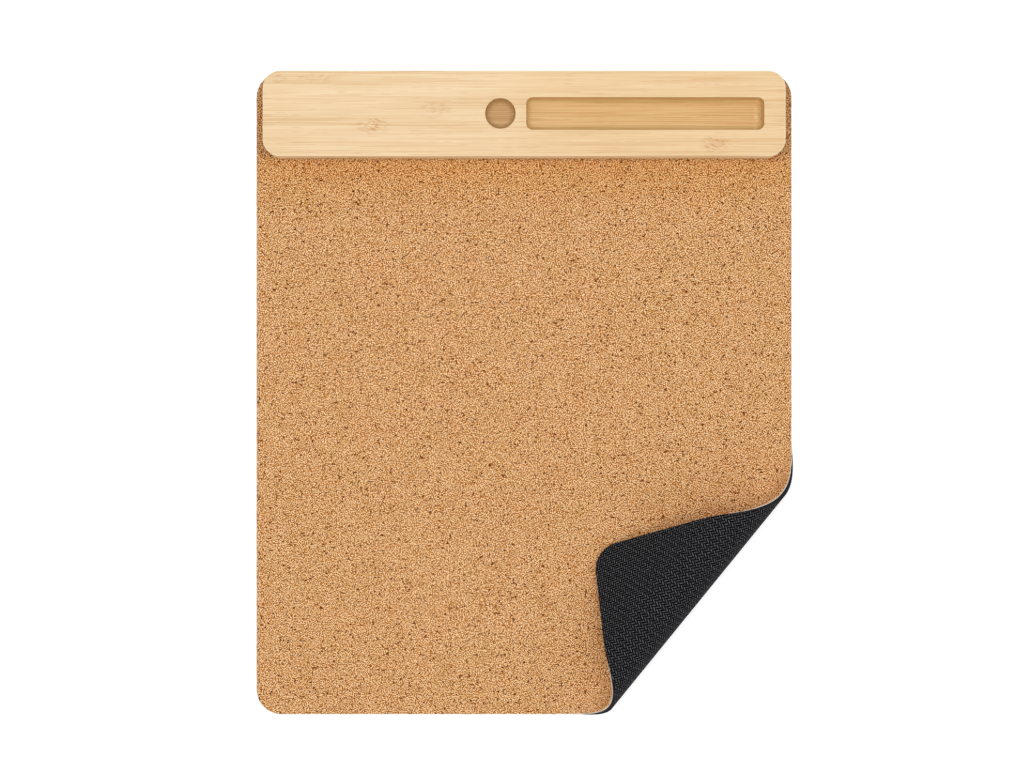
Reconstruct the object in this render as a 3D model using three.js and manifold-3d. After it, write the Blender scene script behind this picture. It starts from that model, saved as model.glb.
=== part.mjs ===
// A mouse pad of cork on rubber, with a bamboo bar along its back edge and one front corner folded over.
// Millimetres, +Z up, +X to the right, +Y to the back. The origin is on the desk, under the pad's middle.
import * as THREE from "three";
import { mergeVertices } from "three/addons/utils/BufferGeometryUtils.js";
import Module from "manifold-3d";

// Driving dimensions of the laminated sheet, laid flat
const padWidth = 250;
const padDepth = 300;
const padCornerRadius = 11.5;
const rubberThickness = 1.8;
const clothThickness = 0.3;
const corkThickness = 0.8;
const glueFilm = 0.05;

// Driving dimensions of the folded corner. The cloth in the middle of the sheet keeps its length.
const foldDirectionDegrees = 50.9; // the fold line, turned from +X
const foldedLength = 81.7; // flat sheet from the tip of the corner back to where it lifts off
const bendRadius = 11.9; // of the cloth, where the bend is tightest
const bendLeadIn = 8;
const bendLeadOut = 8;
const foldDrift = 1.2; // the corner slides this far along the fold line in half a turn
const tipGap = 0.3; // between the tip of the corner and the cork that it comes down on

// Driving dimensions of the bamboo bar and of the adhesive sheet under it
const barDepth = 39.5;
const barHeight = 10;
const barSideInset = 4;
const barBackInset = 0.8;
const barCornerStep = 3.5; // the pad's corner radius less the bar's
const barTopRound = 0.8;
const barFootChamfer = 0.3;
const tapeThickness = 0.2;
const tapeInset = 2;

// Driving dimensions of the pen tray and the round well, milled into the bar
const trayLength = 110;
const trayWidth = 15;
const trayCornerRadius = 3;
const trayEndMargin = 10; // from the bar's right end
const wellDiameter = 14;
const wellToTrayWeb = 5;
const pocketDepth = 7.5;
const pocketFloorFillet = 2.7;
const pocketRimChamfer = 0.4;
const cutterOverrun = 2;

// Facet counts, and how finely the fold is worked out
const padCornerSteps = 8;
const barCornerSteps = 8;
const wellQuarterSteps = 10;
const bendSteps = 28;
const filletSteps = 4;
const turnHalvings = 40;
const reachTolerance = 1e-6;

// Heights of the layers above the desk
const clothFoot = rubberThickness + glueFilm;
const clothTop = clothFoot + clothThickness;
const corkFoot = clothTop + glueFilm;
const corkTop = corkFoot + corkThickness;
const neutralHeight = (clothFoot + clothTop) / 2;
const barFoot = corkTop + tapeThickness;
const barTop = barFoot + barHeight;

// Places of the bar and its pockets
const barWidth = padWidth - 2 * barSideInset;
const barCentreY = padDepth / 2 - barBackInset - barDepth / 2;
const barCornerRadius = padCornerRadius - barCornerStep;
const trayCentreX = barWidth / 2 - trayEndMargin - trayLength / 2;
const wellCentreX = trayCentreX - trayLength / 2 - wellToTrayWeb - wellDiameter / 2;

const wasm = await Module();
wasm.setup();

// The points of a rectangle with rounded corners about the origin, anticlockwise
function roundedRectangle(width, depth, radius, steps) {
  const points = [];
  const centreX = width / 2 - radius;
  const centreY = depth / 2 - radius;
  const quarters = [[1, 1], [-1, 1], [-1, -1], [1, -1]];
  quarters.forEach(([sideX, sideY], quarter) => {
    for (let i = 0; i <= steps; i++) {
      const angle = (quarter + i / steps) * (Math.PI / 2);
      const x = sideX * centreX + radius * Math.cos(angle);
      const y = sideY * centreY + radius * Math.sin(angle);
      points.push(new THREE.Vector2(x, y));
    }
  });
  return points;
}

// A closed geometry from triangles given as lists of three points
function closedGeometry(triangles) {
  const corners = triangles.flat();
  const geometry = new THREE.BufferGeometry().setFromPoints(corners);
  return mergeVertices(geometry);
}

// The triangles of a convex polygon, fanned from its first point
function fan(polygon) {
  const triangles = [];
  for (let i = 1; i < polygon.length - 1; i++) {
    triangles.push([polygon[0], polygon[i], polygon[i + 1]]);
  }
  return triangles;
}

// The two triangles of a wall between a lower and an upper edge, seen from outside from left to right
function wall(lowLeft, lowRight, highRight, highLeft) {
  return [[lowLeft, lowRight, highRight], [lowLeft, highRight, highLeft]];
}

// The folded corner.
// Along the sheet, "reach" is the distance from the pad's centre square to the fold line, and "slide" is
// the distance along it. The bend turns the sheet about lines of equal reach.
const foldAngle = THREE.MathUtils.degToRad(foldDirectionDegrees);
const foldLine = new THREE.Vector2(Math.cos(foldAngle), Math.sin(foldAngle));
const foldNormal = new THREE.Vector2(foldLine.y, -foldLine.x);
const cornerCentre = new THREE.Vector2(padWidth / 2 - padCornerRadius, padCornerRadius - padDepth / 2);
const tipReach = foldNormal.dot(cornerCentre) + padCornerRadius;
const foldReach = tipReach - foldedLength;

// How far the sheet has turned at an arc length past the fold's start, for a bend of the given whole turn
function headingAt(length, turn) {
  const bendLength = turn * bendRadius + (bendLeadIn + bendLeadOut) / 2;
  const left = bendLength - length;
  if (length < bendLeadIn) {
    return length ** 2 / (2 * bendLeadIn * bendRadius);
  }
  if (left <= 0) {
    return turn;
  }
  if (left < bendLeadOut) {
    return turn - left ** 2 / (2 * bendLeadOut * bendRadius);
  }
  return (length - bendLeadIn / 2) / bendRadius;
}

// The stations of the bend: chords of the cloth line, with the heading of the chord that follows each
function bendStations(turn) {
  const bendLength = turn * bendRadius + (bendLeadIn + bendLeadOut) / 2;
  const stations = [];
  const place = { reach: foldReach, height: neutralHeight };
  for (let i = 0; i <= bendSteps; i++) {
    const length = (i / bendSteps) * bendLength;
    const nextLength = ((i + 1) / bendSteps) * bendLength;
    const chord = i < bendSteps ? nextLength - length : foldedLength;
    const heading = i < bendSteps ? headingAt((length + nextLength) / 2, turn) : turn;
    stations.push({ length, heading, ...place });
    place.reach += chord * Math.cos(heading);
    place.height += chord * Math.sin(heading);
  }
  stations.push({ length: bendLength + foldedLength, heading: turn, ...place });
  return stations;
}

// Where a station's line lies for a layer face at the given height in the flat sheet
function stationPlace(stations, index, faceHeight) {
  const station = stations[index];
  const before = index > 0 ? stations[index - 1].heading : 0;
  const middle = (before + station.heading) / 2;
  const offset = (faceHeight - neutralHeight) / Math.cos((station.heading - before) / 2);
  return {
    reach: station.reach - offset * Math.sin(middle),
    height: station.height + offset * Math.cos(middle),
    drift: (foldDrift * middle) / Math.PI,
  };
}

// Folds a point of the flat sheet, on the face at the given height
function foldPoint(stations, point, faceHeight) {
  const reach = foldNormal.dot(point);
  const slide = foldLine.dot(point);
  const length = reach - foldReach;
  if (length <= 0) {
    return new THREE.Vector3(point.x, point.y, faceHeight);
  }
  let index = 0;
  while (index < stations.length - 2 && length > stations[index + 1].length) {
    index++;
  }
  const near = stationPlace(stations, index, faceHeight);
  const far = stationPlace(stations, index + 1, faceHeight);
  const along = (length - stations[index].length) / (stations[index + 1].length - stations[index].length);
  const newReach = THREE.MathUtils.lerp(near.reach, far.reach, along);
  const newSlide = slide + THREE.MathUtils.lerp(near.drift, far.drift, along);
  const x = newReach * foldNormal.x + newSlide * foldLine.x;
  const y = newReach * foldNormal.y + newSlide * foldLine.y;
  return new THREE.Vector3(x, y, THREE.MathUtils.lerp(near.height, far.height, along));
}

// The whole turn that brings the cork at the corner's tip down to rest just above the cork of the pad
function restingTurn() {
  const tip = foldNormal.clone().multiplyScalar(tipReach);
  let low = Math.PI;
  let high = 1.5 * Math.PI;
  for (let i = 0; i < turnHalvings; i++) {
    const turn = (low + high) / 2;
    const height = foldPoint(bendStations(turn), tip, corkTop).z;
    if (height > corkTop + tipGap) {
      low = turn;
    } else {
      high = turn;
    }
  }
  return (low + high) / 2;
}

// The part of a convex polygon whose reach, times the given side, is no more than the limit
function clipByReach(polygon, limit, side) {
  const kept = [];
  polygon.forEach((point, i) => {
    const next = polygon[(i + 1) % polygon.length];
    const here = side * (foldNormal.dot(point) - limit);
    const there = side * (foldNormal.dot(next) - limit);
    if (here <= 0) {
      kept.push(point);
    }
    if (here * there < 0) {
      kept.push(point.clone().lerp(next, here / (here - there)));
    }
  });
  return kept;
}

const stations = bendStations(restingTurn());

// One layer of the sheet between two heights, cut into strips along the fold line and folded
function foldedLayer(foot, top) {
  const outline = roundedRectangle(padWidth, padDepth, padCornerRadius, padCornerSteps);
  const limits = stations.map((station) => foldReach + station.length);
  const triangles = [];
  limits.forEach((limit, i) => {
    const previous = i > 0 ? limits[i - 1] : -Infinity;
    const beyond = i > 0 ? clipByReach(outline, previous, -1) : outline;
    const strip = clipByReach(beyond, limit, 1);
    if (strip.length < 3) {
      return;
    }
    const lower = strip.map((point) => foldPoint(stations, point, foot));
    const upper = strip.map((point) => foldPoint(stations, point, top));
    triangles.push(...fan(upper), ...fan(lower.toReversed()));
    strip.forEach((point, k) => {
      const next = (k + 1) % strip.length;
      const ends = [point, strip[next]];
      const liesOn = (cut) => ends.every((end) => Math.abs(foldNormal.dot(end) - cut) < reachTolerance);
      if (!liesOn(previous) && !liesOn(limit)) {
        triangles.push(...wall(lower[k], lower[next], upper[next], upper[k]));
      }
    });
  });
  return closedGeometry(triangles);
}

// A closed solid through rounded rectangles, one for each ring of inset and height, from the foot up
function loft(width, depth, radius, steps, rings) {
  const outlines = rings.map(([inset, height]) => {
    const flat = roundedRectangle(width - 2 * inset, depth - 2 * inset, radius - inset, steps);
    return flat.map((point) => new THREE.Vector3(point.x, point.y, height));
  });
  const triangles = [...fan(outlines[0].toReversed()), ...fan(outlines.at(-1))];
  for (let i = 0; i < outlines.length - 1; i++) {
    const lower = outlines[i];
    const upper = outlines[i + 1];
    lower.forEach((point, k) => {
      const next = (k + 1) % lower.length;
      triangles.push(...wall(point, lower[next], upper[next], upper[k]));
    });
  }
  return closedGeometry(triangles);
}

// The rings of a pocket's cutter, from its filleted floor up past the bar's top, which it chamfers
function pocketRings() {
  const floor = barTop - pocketDepth;
  const rings = [];
  for (let i = 0; i <= filletSteps; i++) {
    const angle = (i / filletSteps) * (Math.PI / 2);
    const inset = pocketFloorFillet * (1 - Math.sin(angle));
    rings.push([inset, floor + pocketFloorFillet * (1 - Math.cos(angle))]);
  }
  rings.push([0, barTop - pocketRimChamfer]);
  rings.push([-pocketRimChamfer - cutterOverrun, barTop + cutterOverrun]);
  return rings;
}

// The rings of the bar's blank: a fine chamfer at the foot and a rounded top edge
function barRings() {
  const rings = [[barFootChamfer, barFoot], [0, barFoot + barFootChamfer]];
  for (let i = 0; i <= filletSteps; i++) {
    const angle = (i / filletSteps) * (Math.PI / 2);
    const inset = barTopRound * (1 - Math.cos(angle));
    rings.push([inset, barTop - barTopRound * (1 - Math.sin(angle))]);
  }
  return rings;
}

// A solid that can be cut, from a closed geometry
function solidOf(geometry) {
  const vertProperties = new Float32Array(geometry.attributes.position.array);
  const triVerts = new Uint32Array(geometry.index.array);
  return new wasm.Manifold(new wasm.Mesh({ numProp: 3, vertProperties, triVerts }));
}

// A closed geometry from a solid
function geometryOf(solid) {
  const mesh = solid.getMesh();
  const geometry = new THREE.BufferGeometry();
  geometry.setAttribute("position", new THREE.BufferAttribute(mesh.vertProperties, 3));
  geometry.setIndex(new THREE.BufferAttribute(mesh.triVerts, 1));
  return geometry;
}

// The bamboo bar: a rounded blank with the long tray and the round well milled from above
function barGeometry() {
  const blank = loft(barWidth, barDepth, barCornerRadius, barCornerSteps, barRings());
  const tray = loft(trayLength, trayWidth, trayCornerRadius, barCornerSteps, pocketRings());
  const well = loft(wellDiameter, wellDiameter, wellDiameter / 2, wellQuarterSteps, pocketRings());
  tray.translate(trayCentreX, 0, 0);
  well.translate(wellCentreX, 0, 0);
  const milled = solidOf(blank).subtract(solidOf(tray)).subtract(solidOf(well));
  return geometryOf(milled).translate(0, barCentreY, 0);
}

// The adhesive sheet: the bar's outline, drawn in all round
function tapeGeometry() {
  const rings = [[tapeInset, corkTop], [tapeInset, barFoot]];
  return loft(barWidth, barDepth, barCornerRadius, barCornerSteps, rings).translate(0, barCentreY, 0);
}

// A named piece with a material of its own
function piece(name, geometry, color, roughness) {
  const material = new THREE.MeshStandardMaterial({ color, roughness, metalness: 0 });
  geometry.computeVertexNormals();
  const mesh = new THREE.Mesh(geometry, material);
  mesh.name = name;
  return mesh;
}

const sheet = new THREE.Group();
sheet.add(piece("rubber_base", foldedLayer(0, rubberThickness), "#262627", 0.85));
sheet.add(piece("backing_cloth", foldedLayer(clothFoot, clothTop), "#ddd2c0", 0.9));
sheet.add(piece("cork_surface", foldedLayer(corkFoot, corkTop), "#cc9b6c", 0.9));

const penRest = new THREE.Group();
penRest.add(piece("bar_tape", tapeGeometry(), "#e8e2d4", 0.6));
penRest.add(piece("bamboo_bar", barGeometry(), "#f2d5ab", 0.5));

const mousePad = new THREE.Group();
mousePad.add(sheet, penRest);

export default mousePad;
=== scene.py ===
import math

import bmesh
import bpy
import numpy as np
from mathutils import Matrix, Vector
from mathutils.geometry import tessellate_polygon
from mathutils.noise import noise


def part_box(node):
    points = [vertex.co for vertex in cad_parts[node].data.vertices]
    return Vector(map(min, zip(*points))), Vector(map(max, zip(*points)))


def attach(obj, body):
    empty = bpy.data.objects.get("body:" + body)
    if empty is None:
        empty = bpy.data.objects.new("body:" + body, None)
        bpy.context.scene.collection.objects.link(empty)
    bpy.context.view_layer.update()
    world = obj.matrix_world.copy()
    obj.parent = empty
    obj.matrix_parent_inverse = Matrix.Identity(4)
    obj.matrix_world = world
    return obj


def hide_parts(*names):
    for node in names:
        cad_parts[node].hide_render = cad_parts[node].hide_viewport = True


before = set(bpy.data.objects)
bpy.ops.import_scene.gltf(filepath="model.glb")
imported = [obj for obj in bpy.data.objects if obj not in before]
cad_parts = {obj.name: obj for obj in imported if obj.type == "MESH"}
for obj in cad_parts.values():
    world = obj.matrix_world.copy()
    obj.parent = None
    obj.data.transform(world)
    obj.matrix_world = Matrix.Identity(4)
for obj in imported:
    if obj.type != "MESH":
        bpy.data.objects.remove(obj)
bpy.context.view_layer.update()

MM = 0.001

# Driving sizes of the laminated sheet and of its fold, as in the part's source
PAD_WIDTH = 250 * MM
PAD_DEPTH = 300 * MM
PAD_CORNER_RADIUS = 11.5 * MM
RUBBER_TOP = 1.8 * MM
CLOTH_THICKNESS = 0.3 * MM
CORK_THICKNESS = 0.8 * MM
GLUE_FILM = 0.05 * MM
FOLD_ANGLE = math.radians(50.9)
FOLDED_LENGTH = 81.7 * MM
BEND_RADIUS = 11.9 * MM
BEND_LEAD = 8 * MM
FOLD_DRIFT = 1.2 * MM
TIP_GAP = 0.3 * MM
LEAST_TURN = math.pi
MOST_TURN = 1.5 * math.pi
BEND_STEPS = 80
TURN_HALVINGS = 40

# Driving sizes of the bamboo bar and of its pockets, as in the part's source
BAR_CORNER_RADIUS = 8 * MM
BAR_TOP_ROUND = 0.8 * MM
BAR_FOOT_CHAMFER = 0.3 * MM
TRAY_LENGTH = 110 * MM
TRAY_WIDTH = 15 * MM
TRAY_CORNER_RADIUS = 3 * MM
TRAY_END_MARGIN = 10 * MM
WELL_DIAMETER = 14 * MM
WELL_TO_TRAY_WEB = 5 * MM
POCKET_DEPTH = 7.5 * MM
POCKET_FLOOR_FILLET = 2.7 * MM
POCKET_RIM_ROUND = 0.4 * MM

# Finer sizes of the surfaces, which the solids leave out
CUT_EASE = 0.12 * MM
CLOTH_FRAY = 0.25 * MM
CLOTH_FRAY_GRAIN = 1.7 * MM
CLOTH_FRAY_SEED = 3.1
CORK_CHIP = 0.12 * MM
CORK_CHIP_GRAIN = 0.9 * MM
CORK_TOP_CHIP_SEED = 7.3
CORK_FOOT_CHIP_SEED = 11.7
EDGE_SPACING = 0.6 * MM
SMOOTH_SPACING = 1.5 * MM
FLAT_MARGIN = 0.4 * MM
FLOOR_MARGIN = 0.2 * MM
ROUND_STEPS = 6
SMOOTH_ANGLE = math.radians(30)

# Heights and places that follow. The fold's line and its normal are directions in the flat sheet, and a
# reach is a distance along the normal: of the corner's tip, and of the line where the bend starts.
CORK_FOOT = RUBBER_TOP + CLOTH_THICKNESS + 2 * GLUE_FILM
CORK_TOP = CORK_FOOT + CORK_THICKNESS
NEUTRAL_HEIGHT = RUBBER_TOP + GLUE_FILM + CLOTH_THICKNESS / 2
FOLD_LINE = np.array([math.cos(FOLD_ANGLE), math.sin(FOLD_ANGLE)])
FOLD_NORMAL = np.array([FOLD_LINE[1], -FOLD_LINE[0]])
CORNER_CENTRE = np.array([PAD_WIDTH / 2 - PAD_CORNER_RADIUS, PAD_CORNER_RADIUS - PAD_DEPTH / 2])
TIP_REACH = FOLD_NORMAL @ CORNER_CENTRE + PAD_CORNER_RADIUS
FOLD_REACH = TIP_REACH - FOLDED_LENGTH

# Names of mesh attributes: a point's place in the sheet before it was folded, its shares of the bar's
# painted highlight on the rounded edges and walls, of the milled tray and of the milled well, whose tints
# are partly painted shade, and its share of the painted shade in the cove round a pocket's floor
FLAT_PLACE = "flat_place"
HIGHLIGHT_SHADE_AND_FINISH_SHARES = "highlight_shade_and_finish_shares"
COVE_SHADE_SHARE = "cove_shade_share"

# Shares on the bar: none, the painted highlight, and the milled tray and well, whose tints are partly painted
# shade. The outer walls have the same painted highlight as the rounded edge.
PLAIN_FINISH = (0, 0, 0)
WALL_HIGHLIGHT = (1, 0, 0)
TRAY_FINISH_AND_SHADE = Vector((0, 1, 0))
WELL_FINISH_AND_SHADE = Vector((0, 0, 1))

# How much of the cove's painted shade there is at its foot, how fast it grows from there upwards, and how
# much there is at most at a pocket's ends and at its front. At its back it is as much less.
COVE_FOOT_SHARE = 0.3
COVE_RISE = 1.5
COVE_MIDDLE_SHARE = 0.55
COVE_FRONT_SHARE = 0.85

# The middle of the range from 0 to 1 in which a noise wanders
NOISE_MIDDLE = 0.5

# In the materials below, a colour or tint is three values out of 255 as they look on a screen. A tint
# multiplies the colour under it. A list of colours goes by rising tone, as (tone, colour). A pair of
# limits says at which value a feature starts to show and at which it is full.

# Grains that make the tone of the cork: size, levels of finer detail and weight
CORK_GRAINS = [
    (5 * MM, 1, 0.2),
    (0.32 * MM, 0, 1.4),
    (0.5 * MM, 0, 2.75),
]
CORK_TONE_START = -1.68
CORK_COLORS = [
    (0.05, (148, 76, 0)),
    (0.28, (184, 118, 45)),
    (0.5, (213, 156, 95)),
    (0.72, (246, 190, 133)),
    (0.95, (255, 224, 181)),
]
CORK_RELIEF = 0.05 * MM

# Bark in the cork, as specks and as seams between larger cells
CORK_WARP_GRAIN = 0.8 * MM
CORK_WARP = 0.3 * MM
SPECK_SIZE = (1.3 * MM, 0.85 * MM, 1 * MM)
SPECK_CHANCE = (0.95, 0.975)
SPECK_EDGE = (0.54, 0.36)
SEAM_CELL = 2.3 * MM
SEAM_EDGE = (0.12, 0.05)
SEAM_PATCH = 1.4 * MM
SEAM_CHANCE = (0.58, 0.64)
BARK_COLOR = (98, 38, 0)

# Wide patches of the cork that are slightly redder or greener: limits and tint
BLUSH_SIZE = 16 * MM
BLUSHES = [
    ((0.5, 0.65), (255, 253, 252)),
    ((0.5, 0.35), (253, 254, 251)),
]

# Painted shade on the cork round the bar: a wide, faint warm shade towards it and a darker shade beside
# it. How far in front of the bar's front edge each tint starts and is full, where less than zero is behind
# that edge, and the tint
SHADE_TINTS_BY_BAR = [
    (30 * MM, 4 * MM, (251, 245, 229)),
    (3.5 * MM, -4.5 * MM, (222, 222, 233)),
]

# The weave that is moulded into the rubber: bars two cells long, by turns along and across. The gap
# between bars and how far their ends and sides are rounded are shares of a cell.
WEAVE_CELL = (1.1 * MM, 1.04 * MM, 1)
WEAVE_TURN = math.radians(4.5)
WEAVE_BAR_CELLS = 2
HALF_CELL = 0.5
WEAVE_GAP = 0.05
WEAVE_END_ROUND = 0.22
WEAVE_SIDE_ROUND = 0.4
CROSSWISE_BAR_HEIGHT = 0.92
WEAVE_RELIEF = 0.22 * MM

# Colours of the rubber, by the height of its weave and its wear, and on its cut edges by its pores
WEAR_GRAIN = 1.2 * MM
WEAR_START = 0.4
WEAR_WEIGHT = 1.1
RUBBER_COLORS = [
    (0, (3, 3, 4)),
    (0.45, (20, 20, 22)),
    (0.8, (54, 54, 56)),
    (1, (98, 98, 102)),
]
RUBBER_PORE = 0.35 * MM
RUBBER_EDGE_COLORS = [
    (0.3, (28, 28, 30)),
    (0.7, (52, 52, 55)),
]

# The cloth's threads and the adhesive sheet's clouds
CLOTH_THREAD = (0.35 * MM, 0.35 * MM, 0.1 * MM)
CLOTH_RELIEF = 0.06 * MM
CLOTH_COLORS = [
    (0.3, (196, 184, 166)),
    (0.6, (240, 232, 218)),
]
TAPE_CLOUD = 4 * MM
TAPE_COLORS = [
    (0.3, (222, 216, 202)),
    (0.7, (238, 233, 220)),
]

# The grain of the bamboo: sizes along the bar, across it and upwards, and weights in its tone
BAND_SIZE = (160 * MM, 5 * MM, 9 * MM)
BAND_WEIGHT = 0.35
FIBRE_SIZE = (80 * MM, 0.38 * MM, 0.8 * MM)
FIBRE_WEIGHT = 0.45
STREAK_SIZE = (30 * MM, 0.5 * MM, 0.9 * MM)
STREAK_WEIGHT = 0.2
BAMBOO_COLORS = [
    (0.3, (226, 187, 138)),
    (0.45, (239, 206, 161)),
    (0.58, (246, 216, 173)),
    (0.75, (250, 224, 182)),
]
BAMBOO_RELIEF = 0.04 * MM

# Short dark dashes where a vessel of the bamboo is cut open
VESSEL_SIZE = (7 * MM, 0.4 * MM, 0.5 * MM)
VESSEL_CHANCE = (0.86, 0.9)
VESSEL_EDGE = (0.55, 0.2)
VESSEL_STRENGTH = 0.4
VESSEL_COLOR = (214, 168, 118)

# Knuckles of the bamboo on its top: place along and across, half length, half width, tilt of the flecks
# and strength
KNUCKLES = [
    (-69.5 * MM, 123.6 * MM, 10 * MM, 4.8 * MM, 0.25, 1),
    (-41.5 * MM, 131.4 * MM, 9 * MM, 4.6 * MM, -0.2, 0.55),
    (-49 * MM, 121 * MM, 5 * MM, 2.5 * MM, 0.3, 0.35),
    (88.5 * MM, 115.4 * MM, 9 * MM, 4.6 * MM, 0.3, 1),
    (84 * MM, 143.4 * MM, 14 * MM, 3 * MM, 0.1, 0.25),
    (-114 * MM, 145.6 * MM, 5 * MM, 2.4 * MM, -0.3, 0.9),
    (-95 * MM, 146 * MM, 12 * MM, 2.4 * MM, -0.3, 0.5),
]
SWIRL_GRAIN = (3 * MM, 1.5 * MM, 3 * MM)
SWIRL_REACH = 2.5 * MM
KNUCKLE_FIBRES = (0.6, 0.4)
KNUCKLE_STRENGTH = 0.5
KNUCKLE_COLOR = (212, 160, 106)

# Dark and light flecks in the knuckles: limits of their chance, strength and colour
FLECK_SIZE = (3.6 * MM, 0.55 * MM, 2 * MM)
FLECK_EDGE = (0.5, 0.25)
FLECKS = [
    ((0.45, 0.5), 0.72, (194, 132, 78)),
    ((0.4, 0.35), 0.5, (255, 236, 198)),
]

# Finishes of the bamboo and painted light on it: warmer towards the right end, the floors of the pockets
# with their darker fibres, tints of the tray and the well that are partly painted shade, painted shade in
# the coves, and a painted highlight on the edges and walls
WARM_PLACES = (-20 * MM, 30 * MM)
WARM_TINT = (252, 248, 240)
MILLED_FIBRES = (0.55, 0.42)
MILLED_FIBRE_TINT = (241, 235, 224)
TRAY_TONE_AND_SHADE_TINT = (248, 240, 217)
WELL_TONE_AND_SHADE_TINT = (231, 219, 198)
COVE_SHADE_TINT = (225, 225, 215)
HIGHLIGHT_TONES = (0.35, 0.5)
HIGHLIGHT_STRENGTH = 0.85
HIGHLIGHT_COLOR = (255, 232, 190)

# Pale marks of the cutter in the tray: how far from its right end, over what reach, and their grain
MARKS_FROM_END = 2.8 * MM
MARKS_REACH = 1.8 * MM
MARKS_GRAIN = (6 * MM, 0.7 * MM, 4 * MM)
MARKS_LINES = (0.5, 0.6)
MARKS_STRENGTH = 0.6
MARKS_COLOR = (250, 222, 176)

# The camera looks straight down. Its place and lens come from the photograph's frame.
CAMERA_PLACE = (-5.633 * MM, 4.348 * MM, 903 * MM)
CAMERA_LENS = 67.68
CAMERA_SENSOR = 36

# The floor and the lights. The sky has its share of the light and the lamp has what is left.
FLOOR_SIZE = 2
FLOOR_DROP = 0.05 * MM
FLOOR_GREY = 0.85
FLOOR_GLOW = 0.4
SKY_SHARE = 0.6
LAMP_HEIGHT = 1.5
LAMP_SIZE = 1.1
WHITE = (1, 1, 1, 1)


# The fold, worked out as in the part's source


def heading_at(length, turn):
    """How far the sheet has turned at an arc length past the fold's start."""
    left = turn * BEND_RADIUS + BEND_LEAD - length
    if length < BEND_LEAD:
        return length**2 / (2 * BEND_LEAD * BEND_RADIUS)
    if left <= 0:
        return turn
    if left < BEND_LEAD:
        return turn - left**2 / (2 * BEND_LEAD * BEND_RADIUS)
    return (length - BEND_LEAD / 2) / BEND_RADIUS


class Bend:
    """The bend of the sheet for one whole turn, as stations along the cloth line."""

    def __init__(self, turn):
        bend_length = turn * BEND_RADIUS + BEND_LEAD
        self.lengths = np.append(np.linspace(0, bend_length, BEND_STEPS + 1), bend_length + FOLDED_LENGTH)
        middles = (self.lengths[1:] + self.lengths[:-1]) / 2
        headings = np.array([heading_at(length, turn) for length in middles])
        chords = np.diff(self.lengths)
        self.reaches = FOLD_REACH + np.append(0, np.cumsum(chords * np.cos(headings)))
        self.heights = NEUTRAL_HEIGHT + np.append(0, np.cumsum(chords * np.sin(headings)))
        before = np.append(0, headings)
        after = np.append(headings, headings[-1])
        middle = (before + after) / 2
        mitre = np.cos((after - before) / 2)
        self.leans = np.sin(middle) / mitre
        self.rises = np.cos(middle) / mitre
        self.drifts = FOLD_DRIFT * middle / math.pi

    def fold(self, flat):
        """Folds an array of flat places: x, y and height in the sheet."""
        reach = flat[:, :2] @ FOLD_NORMAL
        slide = flat[:, :2] @ FOLD_LINE
        length = reach - FOLD_REACH
        offset = flat[:, 2] - NEUTRAL_HEIGHT

        def here(values):
            return np.interp(length, self.lengths, values)

        folded_reach = here(self.reaches) - offset * here(self.leans)
        folded_slide = slide + here(self.drifts)
        folded = np.outer(folded_reach, FOLD_NORMAL) + np.outer(folded_slide, FOLD_LINE)
        height = here(self.heights) + offset * here(self.rises)
        bent = length > 0
        place = flat.copy()
        place[bent] = np.column_stack([folded, height])[bent]
        return place


def resting_bend():
    """The bend that brings the cork at the corner's tip down to rest just above the cork of the pad."""
    tip = np.array([[*(FOLD_NORMAL * TIP_REACH), CORK_TOP]])
    low, high = LEAST_TURN, MOST_TURN
    for _ in range(TURN_HALVINGS):
        turn = (low + high) / 2
        if Bend(turn).fold(tip)[0, 2] > CORK_TOP + TIP_GAP:
            low = turn
        else:
            high = turn
    return Bend(turn)


# Shapes


def outline(width, depth, radius, spacing, centre=(0, 0)):
    """Points round a rounded rectangle, anticlockwise, and the outward direction at each."""
    points = []
    outwards = []
    arc_steps = max(2 * ROUND_STEPS, round(radius * math.pi / 2 / spacing))
    sides = [(1, 1), (-1, 1), (-1, -1), (1, -1)]
    for quarter, (side_x, side_y) in enumerate(sides):
        corner = np.array([side_x * (width / 2 - radius), side_y * (depth / 2 - radius)]) + centre
        for step in range(arc_steps + 1):
            angle = (quarter + step / arc_steps) * math.pi / 2
            outward = np.array([math.cos(angle), math.sin(angle)])
            points.append(corner + radius * outward)
            outwards.append(outward)
        straight = (width if quarter % 2 == 0 else depth) - 2 * radius
        along = np.array([-outward[1], outward[0]])
        straight_steps = round(straight / spacing)
        for step in range(1, straight_steps):
            points.append(corner + radius * outward + along * straight * step / straight_steps)
            outwards.append(outward)
    return np.array(points), np.array(outwards)


def ring_points(shape, inset, height):
    """One ring of 3-D points: the outline drawn in by an inset, or by one inset for each point."""
    points, outwards = shape
    drawn_in = points - outwards * np.reshape(inset, (-1, 1))
    return np.column_stack([drawn_in, np.full(len(points), height)])


def add_ring(mesh, points):
    """Adds a ring of vertices."""
    return [mesh.verts.new(point) for point in points]


def join_rings(mesh, rings):
    """Joins each ring of vertices to the next by quads, outward for rings that rise round a solid."""
    for lower, upper in zip(rings, rings[1:]):
        for i in range(len(lower)):
            k = (i + 1) % len(lower)
            mesh.faces.new((lower[i], lower[k], upper[k], upper[i]))


def quarter_round(radius):
    """Pairs of (inwards, upwards) lengths of a rounded edge, from the wall to the flat."""
    angles = [math.pi / 2 * step / ROUND_STEPS for step in range(ROUND_STEPS + 1)]
    return [(radius * (1 - math.cos(angle)), radius * math.sin(angle)) for angle in angles]


def new_object(name, mesh):
    """An object with smooth shading, but for its sharp edges."""
    data = bpy.data.meshes.new(name)
    mesh.to_mesh(data)
    mesh.free()
    data.shade_smooth()
    data.set_sharp_from_angle(angle=SMOOTH_ANGLE)
    made = bpy.data.objects.new(name, data)
    bpy.context.scene.collection.objects.link(made)
    return made


def rough_edge(shape, size, grain, seed):
    """A distance for each point of an outline that wanders between zero and a size."""
    points, _ = shape
    places = [Vector((x / grain, y / grain, seed)) for x, y in points]
    return np.array([size * min(1, max(0, NOISE_MIDDLE + noise(place))) for place in places])


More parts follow.
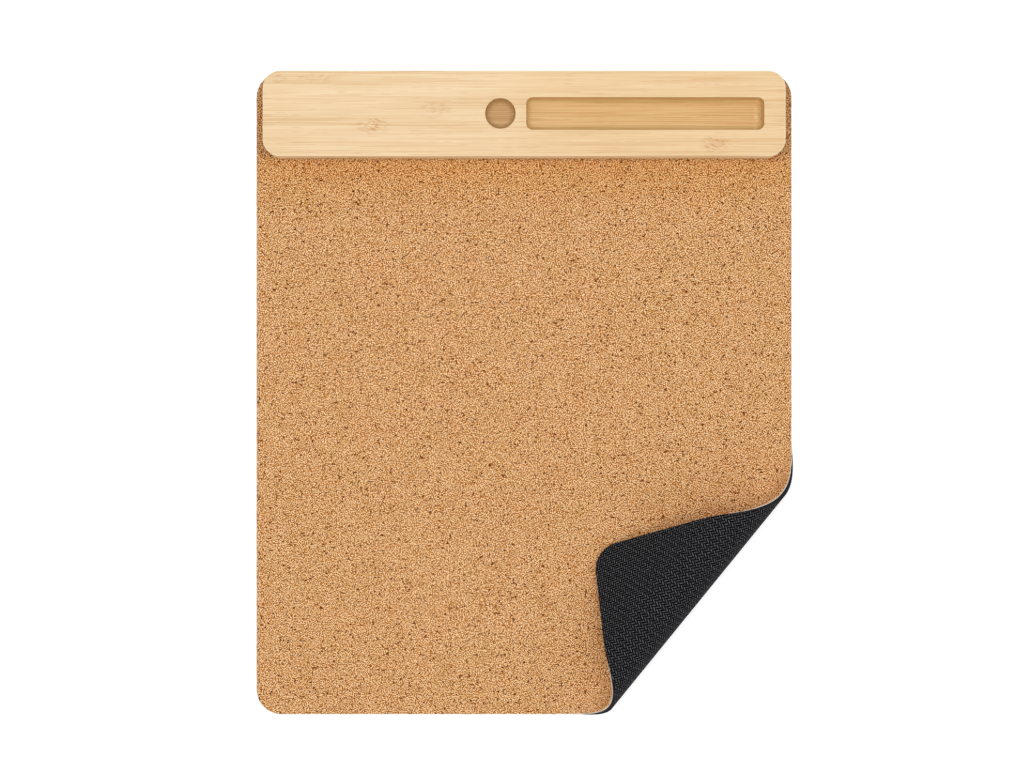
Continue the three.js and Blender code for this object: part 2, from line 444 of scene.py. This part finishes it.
def folded_layer(name, shape, rings, bend):
    """One layer of the sheet: rings from foot to top, cut along the fold's stations and folded."""
    mesh = bmesh.new()
    loops = [add_ring(mesh, ring_points(shape, inset, height)) for inset, height in rings]
    join_rings(mesh, loops)
    mesh.faces.new(reversed(loops[0]))
    mesh.faces.new(loops[-1])
    normal = (*FOLD_NORMAL, 0)
    for length in bend.lengths[:-1]:
        place = (*(FOLD_NORMAL * (FOLD_REACH + length)), 0)
        everything = [*mesh.verts, *mesh.edges, *mesh.faces]
        bmesh.ops.bisect_plane(mesh, geom=everything, plane_co=place, plane_no=normal)
    flat = np.array([vertex.co for vertex in mesh.verts])
    for vertex, place in zip(mesh.verts, bend.fold(flat)):
        vertex.co = place
    made = new_object(name, mesh)
    attribute = made.data.attributes.new(FLAT_PLACE, "FLOAT_VECTOR", "POINT")
    attribute.data.foreach_set("vector", flat.astype(np.float32).ravel())
    return made


def rubber_sheet(bend):
    """The rubber base: clean cut edges, slightly eased."""
    shape = outline(PAD_WIDTH, PAD_DEPTH, PAD_CORNER_RADIUS, SMOOTH_SPACING)
    rings = [(CUT_EASE, 0), (0, CUT_EASE), (0, RUBBER_TOP - CUT_EASE), (CUT_EASE, RUBBER_TOP)]
    return folded_layer("rubber_sheet", shape, rings, bend)


def cloth_sheet(bend):
    """The backing cloth, whose cut edge frays a little beyond the rubber and the cork."""
    shape = outline(PAD_WIDTH, PAD_DEPTH, PAD_CORNER_RADIUS, EDGE_SPACING)
    fray = rough_edge(shape, CLOTH_FRAY, CLOTH_FRAY_GRAIN, CLOTH_FRAY_SEED)
    third = CLOTH_THICKNESS / 3
    rings = [(0, RUBBER_TOP), (-fray, RUBBER_TOP + third), (-fray, CORK_FOOT - third), (0, CORK_FOOT)]
    return folded_layer("cloth_sheet", shape, rings, bend)


def cork_sheet(bend):
    """The cork, with small chips out of its cut edge."""
    shape = outline(PAD_WIDTH, PAD_DEPTH, PAD_CORNER_RADIUS, EDGE_SPACING)
    top_chips = rough_edge(shape, CORK_CHIP, CORK_CHIP_GRAIN, CORK_TOP_CHIP_SEED)
    foot_chips = rough_edge(shape, CORK_CHIP, CORK_CHIP_GRAIN, CORK_FOOT_CHIP_SEED)
    rings = [
        (foot_chips, CORK_FOOT),
        (foot_chips, CORK_FOOT + CORK_THICKNESS / 2),
        (top_chips, CORK_TOP - CUT_EASE),
        (top_chips + CUT_EASE, CORK_TOP),
    ]
    return folded_layer("cork_sheet", shape, rings, bend)


def add_ring_with_shares(mesh, shape, inset, height, finish, cove=0):
    """Adds a ring of the bar, with its shares of painted highlight, tray and well, and its share of the
    cove's painted shade.
    """
    highlight_shade_and_finish_shares = mesh.verts.layers.float_vector[HIGHLIGHT_SHADE_AND_FINISH_SHARES]
    cove_shade_share = mesh.verts.layers.float[COVE_SHADE_SHARE]
    ring = add_ring(mesh, ring_points(shape, inset, height))
    for vertex, share in zip(ring, np.broadcast_to(cove, len(ring))):
        vertex[highlight_shade_and_finish_shares] = finish
        vertex[cove_shade_share] = share
    return ring


def blank_rings(foot, top):
    """Rings of the bar's outside from its foot to its top, as (inset, height, shares of painted highlight,
    tray and well).
    """
    rings = [
        (BAR_FOOT_CHAMFER + FLAT_MARGIN, foot, PLAIN_FINISH),
        (BAR_FOOT_CHAMFER, foot, WALL_HIGHLIGHT),
        (0, foot + BAR_FOOT_CHAMFER, WALL_HIGHLIGHT),
    ]
    for step, (inwards, up) in enumerate(quarter_round(BAR_TOP_ROUND)):
        # A painted highlight on the rounded top edge, full at the wall and along its middle
        highlight = max(1 - step / ROUND_STEPS, math.sin(math.pi * step / ROUND_STEPS))
        rings.append((inwards, top - BAR_TOP_ROUND + up, (highlight, 0, 0)))
    rings.append((BAR_TOP_ROUND + FLAT_MARGIN, top, PLAIN_FINISH))
    return rings


def pocket_rings(outwards, top, milled):
    """Rings of a pocket from its floor to its rim, as (inset, height, shares of painted highlight, tray and
    well, share of the cove's painted shade).
    """
    floor = top - POCKET_DEPTH
    # The cove's painted shade is heaviest at the pocket's front and lightest at its back
    full = COVE_MIDDLE_SHARE - (COVE_FRONT_SHARE - COVE_MIDDLE_SHARE) * outwards[:, 1]
    rings = [(POCKET_FLOOR_FILLET + FLOOR_MARGIN, floor, milled)]
    for step, (inwards, up) in enumerate(reversed(quarter_round(POCKET_FLOOR_FILLET))):
        cove = full * min(1, COVE_FOOT_SHARE + COVE_RISE * step / ROUND_STEPS)
        rings.append((inwards, floor + POCKET_FLOOR_FILLET - up, milled, cove))
    for step, (inwards, up) in enumerate(quarter_round(POCKET_RIM_ROUND)):
        # A painted highlight on the rim's rounding, while the pocket's tint and painted shade fade out
        # towards the top
        highlight = Vector((math.sin(math.pi * step / ROUND_STEPS), 0, 0))
        left = 1 - step / ROUND_STEPS
        rings.append((-inwards, top - POCKET_RIM_ROUND + up, highlight + milled * left, full * left))
    rings.append((-POCKET_RIM_ROUND - FLAT_MARGIN, top, PLAIN_FINISH))
    return rings


def close_top(mesh, borders):
    """Fills the bar's flat top between its outer ring and the rings round its pockets."""
    corners = [vertex for border in borders for vertex in border]
    for triangle in tessellate_polygon([[vertex.co for vertex in border] for border in borders]):
        face = mesh.faces.new([corners[i] for i in triangle])
        face.normal_update()
        if face.normal.z < 0:
            face.normal_flip()


def bamboo_rest():
    """The bamboo bar with its long tray and its round well, all edges softly rounded."""
    low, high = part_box("bamboo_bar")
    foot, top = low[2], high[2]
    width, depth = high[0] - low[0], high[1] - low[1]
    centre_y = (high[1] + low[1]) / 2
    tray_x = high[0] - TRAY_END_MARGIN - TRAY_LENGTH / 2
    well_x = tray_x - TRAY_LENGTH / 2 - WELL_TO_TRAY_WEB - WELL_DIAMETER / 2
    mesh = bmesh.new()
    mesh.verts.layers.float_vector.new(HIGHLIGHT_SHADE_AND_FINISH_SHARES)
    mesh.verts.layers.float.new(COVE_SHADE_SHARE)

    shape = outline(width, depth, BAR_CORNER_RADIUS, SMOOTH_SPACING, (0, centre_y))
    rings = [add_ring_with_shares(mesh, shape, *ring) for ring in blank_rings(foot, top)]
    join_rings(mesh, rings)
    mesh.faces.new(reversed(rings[0]))
    borders = [rings[-1]]

    tray = outline(TRAY_LENGTH, TRAY_WIDTH, TRAY_CORNER_RADIUS, SMOOTH_SPACING, (tray_x, centre_y))
    well = outline(WELL_DIAMETER, WELL_DIAMETER, WELL_DIAMETER / 2, SMOOTH_SPACING / 2, (well_x, centre_y))
    for hole, milled in ((tray, TRAY_FINISH_AND_SHADE), (well, WELL_FINISH_AND_SHADE)):
        _, outwards = hole
        rings = [add_ring_with_shares(mesh, hole, *ring) for ring in pocket_rings(outwards, top, milled)]
        join_rings(mesh, [list(reversed(ring)) for ring in rings])
        mesh.faces.new(rings[0])
        borders.append(rings[-1])
    close_top(mesh, borders)
    return new_object("bamboo_rest", mesh)


# Materials


def srgb(color):
    """A colour as it looks on a screen, from 0 to 255, in the renderer's own values."""
    shares = [value / 255 for value in color]
    return [s / 12.92 if s <= 0.04045 else ((s + 0.055) / 1.055) ** 2.4 for s in shares] + [1]


class Paint:
    """A node material under construction. Its methods add nodes and return their outputs."""

    def __init__(self, name, roughness, specular):
        self.material = bpy.data.materials.new(name)
        self.material.use_nodes = True
        self.tree = self.material.node_tree
        self.shader = self.tree.nodes["Principled BSDF"]
        self.shader.inputs["Roughness"].default_value = roughness
        self.shader.inputs["Specular IOR Level"].default_value = specular

    def feed(self, socket, value):
        """Links an output to a socket, or sets the socket's value."""
        if isinstance(value, bpy.types.NodeSocket):
            self.tree.links.new(value, socket)
        else:
            socket.default_value = value

    def add(self, kind, inputs, output=0, **settings):
        """Adds a node, feeds its inputs by name or number and returns one output."""
        node = self.tree.nodes.new(kind)
        for name, value in settings.items():
            setattr(node, name, value)
        for socket, value in inputs.items():
            self.feed(node.inputs[socket], value)
        return node.outputs[output]

    def math(self, operation, *values):
        """Works on numbers."""
        return self.add("ShaderNodeMath", dict(enumerate(values)), operation=operation)

    def vector(self, operation, *values):
        """Works on vectors."""
        return self.add("ShaderNodeVectorMath", dict(enumerate(values)), operation=operation)

    def split(self, vector):
        """The three parts of a vector."""
        node = self.tree.nodes.new("ShaderNodeSeparateXYZ")
        self.feed(node.inputs[0], vector)
        return list(node.outputs)

    def join(self, x, y, z):
        """A vector of three parts."""
        return self.add("ShaderNodeCombineXYZ", {0: x, 1: y, 2: z})

    def attribute(self, name, output="Vector"):
        """What the mesh holds for each of its points."""
        return self.add("ShaderNodeAttribute", {}, output, attribute_name=name)

    def place(self):
        """The place in the part's frame, in metres."""
        return self.add("ShaderNodeTexCoord", {}, "Object")

    def in_sizes(self, place, size):
        """A place counted in steps of the given size, or of the given sizes along the axes."""
        sizes = size if isinstance(size, tuple) else (size, size, size)
        return self.vector("MULTIPLY", place, [1 / each for each in sizes])

    def noise(self, place, size, detail=2, roughness=0.5, output="Fac"):
        """Smooth noise from 0 to 1, with features of about the given size or sizes."""
        inputs = {"Vector": self.in_sizes(place, size), "Scale": 1, "Detail": detail, "Roughness": roughness}
        return self.add("ShaderNodeTexNoise", inputs, output)

    def warp(self, place, grain, reach):
        """A place that wanders by up to about half the reach, in features of the given grain."""
        wander = self.vector("SUBTRACT", self.noise(place, grain, output="Color"), [NOISE_MIDDLE] * 3)
        return self.vector("MULTIPLY_ADD", wander, [reach] * 3, place)

    def cells(self, place, size, output="Color", feature="F1"):
        """Cells of about the given size or sizes: a random colour, or a distance."""
        inputs = {"Vector": self.in_sizes(place, size), "Scale": 1}
        return self.add("ShaderNodeTexVoronoi", inputs, output, feature=feature)

    def step(self, value, start, full):
        """Goes smoothly from 0 to 1 as the value goes from the start to full, which may lie below it."""
        inputs = {0: value, 1: start, 2: full}
        return self.add("ShaderNodeMapRange", inputs, interpolation_type="SMOOTHSTEP")

    def blend(self, share, first, second, how="MIX"):
        """Mixes two colours."""
        inputs = {0: share, 6: first, 7: second}
        return self.add("ShaderNodeMix", inputs, 2, data_type="RGBA", blend_type=how)

    def tint(self, share, color, tint):
        """Multiplies a colour by a tint, as far as the share says."""
        return self.blend(share, color, srgb(tint), "MULTIPLY")

    def cover(self, share, strength, color, cover):
        """Lays a colour over another, as far as the share and the strength say."""
        return self.blend(self.math("MULTIPLY", share, strength), color, srgb(cover))

    def ramp(self, value, stops):
        """A colour from stops of (value, colour)."""
        node = self.tree.nodes.new("ShaderNodeValToRGB")
        elements = node.color_ramp.elements
        for element, (position, color) in zip(elements, (stops[0], stops[-1])):
            element.position = position
            element.color = srgb(color)
        for position, color in stops[1:-1]:
            elements.new(position).color = srgb(color)
        self.feed(node.inputs[0], value)
        return node.outputs[0]

    def bump(self, height, distance):
        """A relief of the given height in metres."""
        return self.add("ShaderNodeBump", {"Height": height, "Distance": distance, "Strength": 1})

    def finish(self, color, normal=None):
        """Feeds the shader and returns the material."""
        self.feed(self.shader.inputs["Base Color"], color)
        if normal is not None:
            self.feed(self.shader.inputs["Normal"], normal)
        return self.material


def cork_bark(paint, place):
    """How much bark there is at each point, in specks and in seams."""
    warped = paint.warp(place, CORK_WARP_GRAIN, CORK_WARP)
    chance = paint.split(paint.cells(warped, SPECK_SIZE))[1]
    core = paint.cells(warped, SPECK_SIZE, "Distance")
    specks = paint.math("MULTIPLY", paint.step(chance, *SPECK_CHANCE), paint.step(core, *SPECK_EDGE))
    seam = paint.cells(warped, SEAM_CELL, "Distance", "DISTANCE_TO_EDGE")
    patches = paint.noise(place, SEAM_PATCH)
    seams = paint.math("MULTIPLY", paint.step(seam, *SEAM_EDGE), paint.step(patches, *SEAM_CHANCE))
    return paint.math("MAXIMUM", specks, seams)


def cork_material():
    """Pressed cork granules, light and dark, with bark between them."""
    paint = Paint("pressed_cork", roughness=0.9, specular=0.03)
    place = paint.attribute(FLAT_PLACE)
    tone = CORK_TONE_START
    for size, detail, weight in CORK_GRAINS:
        tone = paint.math("MULTIPLY_ADD", paint.noise(place, size, detail=detail), weight, tone)
    color = paint.blend(cork_bark(paint, place), paint.ramp(tone, CORK_COLORS), srgb(BARK_COLOR))
    blush = paint.noise(place, BLUSH_SIZE)
    for limits, tint in BLUSHES:
        color = paint.tint(paint.step(blush, *limits), color, tint)
    # Painted shade on the cork round the bar: a wide, faint warm shade and a darker one beside the bar
    bar_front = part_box("bamboo_bar")[0][1]
    for start, full, tint in SHADE_TINTS_BY_BAR:
        share = paint.step(paint.split(place)[1], bar_front - start, bar_front - full)
        color = paint.tint(share, color, tint)
    return paint.finish(color, paint.bump(tone, CORK_RELIEF))


def weave_height(paint, place):
    """Short raised bars laid in steps, by turns along and across the weave."""
    rotation = {"Vector": place, "Angle": WEAVE_TURN}
    turned = paint.add("ShaderNodeVectorRotate", rotation, rotation_type="Z_AXIS")
    x, y, _ = paint.split(paint.vector("DIVIDE", turned, WEAVE_CELL))
    column = paint.math("FLOOR", x)
    row = paint.math("FLOOR", y)
    in_x = paint.math("SUBTRACT", x, column)
    in_y = paint.math("SUBTRACT", y, row)
    turn = paint.math("FLOORED_MODULO", paint.math("ADD", column, row), 2 * WEAVE_BAR_CELLS)
    lengthwise = paint.math("LESS_THAN", turn, WEAVE_BAR_CELLS - HALF_CELL)
    along_row = paint.math("ADD", turn, in_x)
    along_column = paint.math("ADD", paint.math("SUBTRACT", turn, WEAVE_BAR_CELLS), in_y)

    def choose(lengthwise_value, crosswise_value):
        inputs = {0: lengthwise, 2: crosswise_value, 3: lengthwise_value}
        return paint.add("ShaderNodeMix", inputs, data_type="FLOAT")

    def rounded(value, length, edge):
        from_end = paint.math("MINIMUM", value, paint.math("SUBTRACT", length, value))
        return paint.step(from_end, WEAVE_GAP, edge)

    along = rounded(choose(along_row, along_column), WEAVE_BAR_CELLS, WEAVE_END_ROUND)
    across = rounded(choose(in_y, in_x), 1, WEAVE_SIDE_ROUND)
    bar_height = choose(1, CROSSWISE_BAR_HEIGHT)
    return paint.math("MULTIPLY", paint.math("MULTIPLY", along, across), bar_height)


def rubber_material():
    """Black rubber, moulded with a weave of small steps on the side that lies on the desk."""
    paint = Paint("moulded_rubber", roughness=0.65, specular=0.03)
    place = paint.attribute(FLAT_PLACE)
    underside = paint.step(paint.split(place)[2], CUT_EASE, 0)
    weave = weave_height(paint, place)
    wear = paint.noise(place, WEAR_GRAIN, detail=3, roughness=0.7)
    wear = paint.math("MULTIPLY_ADD", wear, WEAR_WEIGHT, WEAR_START)
    color = paint.ramp(paint.math("MULTIPLY", weave, wear), RUBBER_COLORS)
    edge_color = paint.ramp(paint.noise(place, RUBBER_PORE), RUBBER_EDGE_COLORS)
    color = paint.blend(underside, edge_color, color)
    return paint.finish(color, paint.bump(paint.math("MULTIPLY", weave, underside), WEAVE_RELIEF))


def cloth_material():
    """Off-white cloth of fine threads, as it shows at its cut edge."""
    paint = Paint("backing_cloth", roughness=0.95, specular=0.1)
    threads = paint.noise(paint.attribute(FLAT_PLACE), CLOTH_THREAD)
    return paint.finish(paint.ramp(threads, CLOTH_COLORS), paint.bump(threads, CLOTH_RELIEF))


def bamboo_knuckles(paint, x, y):
    """How near each point is to a knuckle, from 0 to 1, and the tilt of the flecks there."""
    nearness = 0
    tilt = 0
    for knuckle_x, knuckle_y, half_length, half_width, slope, strength in KNUCKLES:
        along = paint.math("DIVIDE", paint.math("SUBTRACT", x, knuckle_x), half_length)
        across = paint.math("DIVIDE", paint.math("SUBTRACT", y, knuckle_y), half_width)
        squares = paint.math("MULTIPLY_ADD", along, along, paint.math("MULTIPLY", across, across))
        near = paint.math("MULTIPLY", paint.step(squares, 1, 0), strength)
        nearness = paint.math("MAXIMUM", near, nearness)
        tilt = paint.math("MULTIPLY_ADD", paint.math("GREATER_THAN", near, 0), slope, tilt)
    return nearness, tilt


def with_vessels(paint, color, bent):
    """Adds the dashes of cut vessels to the bamboo's colour."""
    chance = paint.split(paint.cells(bent, VESSEL_SIZE))[0]
    core = paint.cells(bent, VESSEL_SIZE, "Distance")
    dashes = paint.math("MULTIPLY", paint.step(chance, *VESSEL_CHANCE), paint.step(core, *VESSEL_EDGE))
    return paint.cover(dashes, VESSEL_STRENGTH, color, VESSEL_COLOR)


def with_knuckles(paint, color, knuckles, fibres, slanted):
    """Adds the knuckles' darker fibres and their flecks to the bamboo's colour."""
    shade = paint.math("MULTIPLY", knuckles, paint.step(fibres, *KNUCKLE_FIBRES))
    color = paint.cover(shade, KNUCKLE_STRENGTH, color, KNUCKLE_COLOR)
    core = paint.cells(slanted, FLECK_SIZE, "Distance")
    chance = paint.split(paint.cells(slanted, FLECK_SIZE))[1]
    flecks = paint.math("MULTIPLY", paint.step(core, *FLECK_EDGE), knuckles)
    for limits, strength, fleck_color in FLECKS:
        some = paint.math("MULTIPLY", flecks, paint.step(chance, *limits))
        color = paint.cover(some, strength, color, fleck_color)
    return color


def cutter_marks(paint, x, place, tray):
    """Short pale marks that the cutter left near the right end of the tray."""
    marks_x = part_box("bamboo_bar")[1][0] - TRAY_END_MARGIN - MARKS_FROM_END
    away = paint.math("ABSOLUTE", paint.math("SUBTRACT", x, marks_x))
    near = paint.math("MULTIPLY", tray, paint.step(away, MARKS_REACH, 0))
    lines = paint.step(paint.noise(place, MARKS_GRAIN), *MARKS_LINES)
    return paint.math("MULTIPLY", near, lines)


def with_finishes_and_painted_light(paint, color, x, place, fibres, tone):
    """Adds the warmer end, the milled pockets with tints that are partly painted shade, the painted shade in
    the coves, the cutter's marks and the painted highlight on the edges, rims and walls.
    """
    # The first share is the painted highlight on the edges, rims and walls
    edge, tray, well = paint.split(paint.attribute(HIGHLIGHT_SHADE_AND_FINISH_SHARES))
    milled = paint.math("ADD", tray, well)
    tints = [
        (paint.step(x, *WARM_PLACES), WARM_TINT),
        (paint.math("MULTIPLY", milled, paint.step(fibres, *MILLED_FIBRES)), MILLED_FIBRE_TINT),
        # The tray's and the well's tints are partly the milled surface's tone and partly painted shade
        (tray, TRAY_TONE_AND_SHADE_TINT),
        (well, WELL_TONE_AND_SHADE_TINT),
        # Painted shade in the coves round the pockets' floors
        (paint.attribute(COVE_SHADE_SHARE, "Fac"), COVE_SHADE_TINT),
    ]
    for share, tint in tints:
        color = paint.tint(share, color, tint)
    color = paint.cover(cutter_marks(paint, x, place, tray), MARKS_STRENGTH, color, MARKS_COLOR)
    # Painted highlight on the rounded edges, the rims and the outer walls, where the bamboo is made lighter
    highlight = paint.math("MULTIPLY", edge, paint.step(tone, *HIGHLIGHT_TONES))
    return paint.cover(highlight, HIGHLIGHT_STRENGTH, color, HIGHLIGHT_COLOR)


def bamboo_material():
    """Pale bamboo, with fine fibres along the bar, a few knuckles, a painted highlight on its edges and
    walls, and milled pockets darkened partly by painted shade.
    """
    paint = Paint("pale_bamboo", roughness=0.5, specular=0.25)
    place = paint.place()
    x, y, z = paint.split(place)
    knuckles, tilt = bamboo_knuckles(paint, x, y)
    swirl = paint.math("SUBTRACT", paint.noise(place, SWIRL_GRAIN), NOISE_MIDDLE)
    swirl = paint.math("MULTIPLY", paint.math("MULTIPLY", swirl, knuckles), SWIRL_REACH)
    bent = paint.join(x, paint.math("ADD", y, swirl), z)
    slanted = paint.join(x, paint.math("MULTIPLY_ADD", x, tilt, y), z)
    bands = paint.noise(bent, BAND_SIZE)
    fibres = paint.noise(bent, FIBRE_SIZE, detail=3, roughness=0.7)
    streaks = paint.split(paint.cells(bent, STREAK_SIZE))[0]
    tone = paint.math("MULTIPLY", bands, BAND_WEIGHT)
    tone = paint.math("MULTIPLY_ADD", fibres, FIBRE_WEIGHT, tone)
    tone = paint.math("MULTIPLY_ADD", streaks, STREAK_WEIGHT, tone)
    color = paint.ramp(tone, BAMBOO_COLORS)
    color = with_vessels(paint, color, bent)
    color = with_knuckles(paint, color, knuckles, fibres, slanted)
    color = with_finishes_and_painted_light(paint, color, x, place, fibres, tone)
    return paint.finish(color, paint.bump(tone, BAMBOO_RELIEF))


def tape_material():
    """The adhesive sheet: whitish and slightly glossy."""
    paint = Paint("adhesive_sheet", roughness=0.4, specular=0.4)
    return paint.finish(paint.ramp(paint.noise(paint.place(), TAPE_CLOUD), TAPE_COLORS))


# The stage


def add_floor():
    """A plain white floor that keeps the object's shadow, and shows as white to the camera."""
    mesh = bmesh.new()
    half = FLOOR_SIZE / 2
    corners = [(-half, -half), (half, -half), (half, half), (-half, half)]
    mesh.faces.new([mesh.verts.new((x, y, -FLOOR_DROP)) for x, y in corners])
    floor = new_object("floor", mesh)
    paint = Paint("white_floor", roughness=0.9, specular=0)
    rays = paint.tree.nodes.new("ShaderNodeLightPath").outputs
    seen = paint.math("MAXIMUM", rays["Is Camera Ray"], rays["Is Glossy Ray"])
    seen = paint.math("MAXIMUM", seen, rays["Is Transmission Ray"])
    paint.shader.inputs["Emission Color"].default_value = WHITE
    paint.feed(paint.shader.inputs["Emission Strength"], paint.math("MULTIPLY", seen, FLOOR_GLOW))
    floor.data.materials.append(paint.finish((FLOOR_GREY, FLOOR_GREY, FLOOR_GREY, 1)))


def add_sky():
    """An even white sky, which also shows as white behind the part."""
    world = bpy.data.worlds.new("studio")
    world.use_nodes = True
    nodes, links = world.node_tree.nodes, world.node_tree.links
    background = nodes["Background"]
    background.inputs["Color"].default_value = WHITE
    seen = nodes.new("ShaderNodeLightPath").outputs["Is Camera Ray"]
    strength = nodes.new("ShaderNodeMath")
    strength.operation = "MAXIMUM"
    strength.inputs[0].default_value = SKY_SHARE
    links.new(seen, strength.inputs[1])
    links.new(strength.outputs[0], background.inputs["Strength"])
    bpy.context.scene.world = world


def add_softbox():
    """One wide round lamp overhead, which with the sky lights a level surface as it is."""
    lamp = bpy.data.lights.new("softbox", "AREA")
    lamp.shape = "DISK"
    lamp.size = LAMP_SIZE
    lamp.energy = math.pi**2 * (LAMP_HEIGHT**2 + LAMP_SIZE**2 / 4) * (1 - SKY_SHARE)
    softbox = bpy.data.objects.new("softbox", lamp)
    softbox.location = (0, 0, LAMP_HEIGHT)
    bpy.context.scene.collection.objects.link(softbox)


def add_camera():
    """The camera of the photograph, looking straight down."""
    camera = bpy.data.cameras.new("camera")
    camera.lens = CAMERA_LENS
    camera.sensor_width = CAMERA_SENSOR
    placed = bpy.data.objects.new("camera", camera)
    placed.location = CAMERA_PLACE
    bpy.context.scene.collection.objects.link(placed)
    bpy.context.scene.camera = placed


def dress(piece, material, node):
    """Gives a piece its material, and puts it in the place of the CAD node."""
    piece.data.materials.append(material)
    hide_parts(node)
    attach(piece, "root")


add_camera()
add_sky()
add_softbox()
add_floor()
bpy.context.scene.view_settings.view_transform = "Standard"

bend = resting_bend()
rubber = rubber_sheet(bend)
cloth = cloth_sheet(bend)
cork = cork_sheet(bend)
rest = bamboo_rest()
dress(rubber, rubber_material(), "rubber_base")
dress(cloth, cloth_material(), "backing_cloth")
dress(cork, cork_material(), "cork_surface")
dress(rest, bamboo_material(), "bamboo_bar")
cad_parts["bar_tape"].material_slots[0].material = tape_material()
